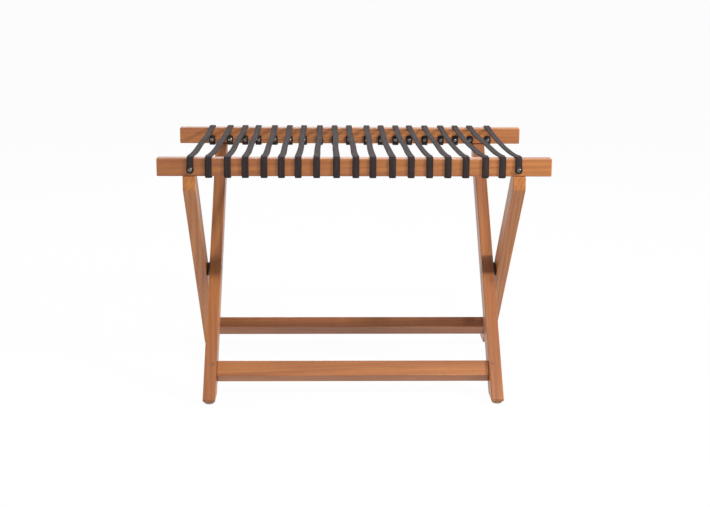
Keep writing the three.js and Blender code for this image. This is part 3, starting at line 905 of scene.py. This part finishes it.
# Screws
def screw_head():
    """Domed head with a cross recess: height = seat + dome * sqrt(1 - 0.96 * share^2), less the recess.

    Share is the radius over the head's, and the first ring is the head's foot inside the cup.
    """
    share = np.concatenate([[1.0, 1.0], np.linspace(HEAD_SHOULDER, HEAD_MIDDLE, HEAD_RINGS)])[:, None]
    angle = np.linspace(0, 2 * np.pi, ROUND, endpoint=False)
    x, y = share * np.cos(angle), share * np.sin(angle)

    def slot(wide, long):
        inside = np.clip((CROSS_HALF - abs(wide)) / CROSS_EASE, 0, 1)
        return inside * np.clip((CROSS_REACH - abs(long)) / CROSS_EASE, 0, 1)

    recess = np.maximum(slot(x, y), slot(y, x)) * CROSS_DEEP
    height = HEAD_SEAT + HEAD_DOME * np.sqrt(1 - 0.96 * share**2) - recess
    height[0] = HEAD_FOOT
    return turned(share * HEAD_RADIUS * np.ones(ROUND), height)


def cup_washer():
    """Cup washer: a rolled rim, a shoulder that rises to the lip, and the hollow that the head sits in.

    The rim is a half circle. The shoulder is a smooth step, share^2 * (3 - 2 * share), from the rim's top to
    the lip, and the hollow goes down in a cone.
    """
    turn = np.linspace(-np.pi / 2, np.pi / 2, CUP_STEPS + 1)
    share = np.linspace(0, 1, CUP_STEPS + 1)[1:]
    rim = CUP_RADIUS - CUP_ROLL
    rim_top = 2 * CUP_ROLL
    radius = np.concatenate([rim + CUP_ROLL * np.cos(turn), rim + (LIP_RADIUS - rim) * share])
    height = np.concatenate([
        CUP_ROLL + CUP_ROLL * np.sin(turn),
        rim_top + (CUP_TALL - rim_top) * share**2 * (3 - 2 * share),
    ])
    return turned(np.append(radius, HOLLOW_RADIUS), np.append(height, HOLLOW_HEIGHT))


def add_screw(name, node, body, seat, way):
    """A screw head and its cup washer on a seat, facing a way along Y, the head turned as it stopped."""
    spin = RANDOM.uniform(0, np.pi / 2)
    turn = np.array(((np.cos(spin), -np.sin(spin), 0), (np.sin(spin), np.cos(spin), 0), (0, 0, 1)))
    axis = (0, way, 0)
    add_turned(f"{name}_head", node, body, stand(screw_head() @ turn, seat, axis), BRIGHT_STEEL)
    add_turned(f"{name}_cup", None, body, stand(cup_washer(), seat, axis), BLACK_STEEL)


def add_screws(number):
    low, high = box_of(f"back_screw_{number}")
    seat_y = RAIL_INNER - FIT - STRIP_THICK - FIT
    middle = (low + high) / 2
    add_screw(f"back_{number}", f"back_screw_{number}", "inner_frame", (middle[0], seat_y, middle[2]), -1)
    if number in END_STRIPS:
        low, high = box_of(f"front_screw_{number}")
        middle = (low + high) / 2
        seat = (middle[0], -REACH - 2 * FIT - STRIP_THICK, middle[2])
        add_screw(f"front_{number}", f"front_screw_{number}", "outer_frame", seat, -1)
        return
    front_x = strip_places(number)[0]
    add_screw(f"front_{number}", None, "outer_frame", (front_x, -seat_y, SEAT + SCREW_RISE), 1)


for body, pieces in FRAMES.items():
    add_timber(body, **pieces)
    add_pegs(body, pieces["out"], pieces["stretcher"])
    add_glides(body, pieces["leg"])
for side in SIDES:
    add_bolt(f"pivot_bolt_{side}")
    add_spacer(f"pivot_washer_{side}")
for number in STRIPS:
    add_strip(number)
    add_screws(number)


# Camera
CAMERA_PLACE = (-0.05727, -2.6856, 0.82566)
CAMERA_TURN = math.radians(-1.359)
CAMERA_DOWN = math.radians(12.39)
CAMERA_ROLL = math.radians(0.2945)
CAMERA_LENS = 71.37


def add_camera():
    lens = bpy.data.cameras.new("camera")
    lens.lens = CAMERA_LENS
    camera = bpy.data.objects.new("camera", lens)
    bpy.context.scene.collection.objects.link(camera)
    turn = Matrix.Rotation(CAMERA_TURN, 4, "Z") @ Matrix.Rotation(math.pi / 2 - CAMERA_DOWN, 4, "X")
    camera.matrix_world = Matrix.Translation(CAMERA_PLACE) @ turn @ Matrix.Rotation(CAMERA_ROLL, 4, "Z")
    bpy.context.scene.camera = camera


# Floor, world and lamps
FLOOR_SIZE = 40
FLOOR_COLOUR = (0.95, 0.95, 0.95)
BACKGROUND_SHARE = 0.97
WORLD_LEVEL = 0.06
LAMP_AIM = (0, 0, 0.3)
LAMPS = {
    "key": {"place": (0.46, -2.15, 2.73), "size": 0.22, "power": 44},
    "right": {"place": (1.99, -1.15, 1.51), "size": 0.4, "power": 54},
    "left": {"place": (-2.4, -0.1, 0.8), "size": 0.9, "power": 22},
    "back": {"place": (0.0, 1.9, 1.9), "size": 1.2, "power": 24},
}


def seen_directly(shader):
    """1 for rays from the camera, from a reflection and through glass, 0 for all other rays."""
    paths = shader.add("ShaderNodeLightPath").socket.node.outputs
    names = ("Is Camera Ray", "Is Glossy Ray", "Is Transmission Ray")
    camera, glossy, through = [Value(shader, paths[name]) for name in names]
    return shader.math("MAXIMUM", shader.math("MAXIMUM", camera, glossy), through)


def floor_finish():
    """Pale matt floor, mixed with plain white where it is seen directly, so that only a soft shadow stays."""
    floor = Shader("pale_floor")
    matt = floor.finish(base_color=FLOOR_COLOUR, roughness=1.0)
    white = floor.add("ShaderNodeEmission", None, {"Color": (1, 1, 1, 1), "Strength": 1.0})
    share = seen_directly(floor) * BACKGROUND_SHARE
    surface = Value(floor, floor.surface.outputs[0])
    mixed = floor.add("ShaderNodeMixShader", None, {0: share, 1: surface, 2: white})
    floor.feed(floor.tree.nodes["Material Output"].inputs["Surface"], mixed)
    return matt


def add_floor():
    half = FLOOR_SIZE / 2
    corners = np.array(((-half, -half, 0), (half, -half, 0), (half, half, 0), (-half, half, 0)))
    add_piece("floor", corners, [[0, 1, 2, 3]], floor_finish())


def add_world():
    world = bpy.data.worlds.new("studio")
    world.use_nodes = True
    bpy.context.scene.world = world
    shader = Shader("studio", world.node_tree)
    direct = seen_directly(shader)
    background = world.node_tree.nodes["Background"]
    background.inputs["Color"].default_value = (1, 1, 1, 1)
    shader.feed(background.inputs["Strength"], WORLD_LEVEL + (1 - WORLD_LEVEL) * direct)


def add_lamp(name, place, size, power):
    light = bpy.data.lights.new(name, "AREA")
    light.shape = "DISK"
    light.size = size
    light.energy = power
    lamp = bpy.data.objects.new(name, light)
    lamp.location = place
    lamp.rotation_euler = (Vector(LAMP_AIM) - Vector(place)).to_track_quat("-Z", "Y").to_euler()
    bpy.context.scene.collection.objects.link(lamp)


add_camera()
add_floor()
add_world()
for name, lamp in LAMPS.items():
    add_lamp(name, **lamp)
bpy.context.scene.view_settings.view_transform = "Standard"
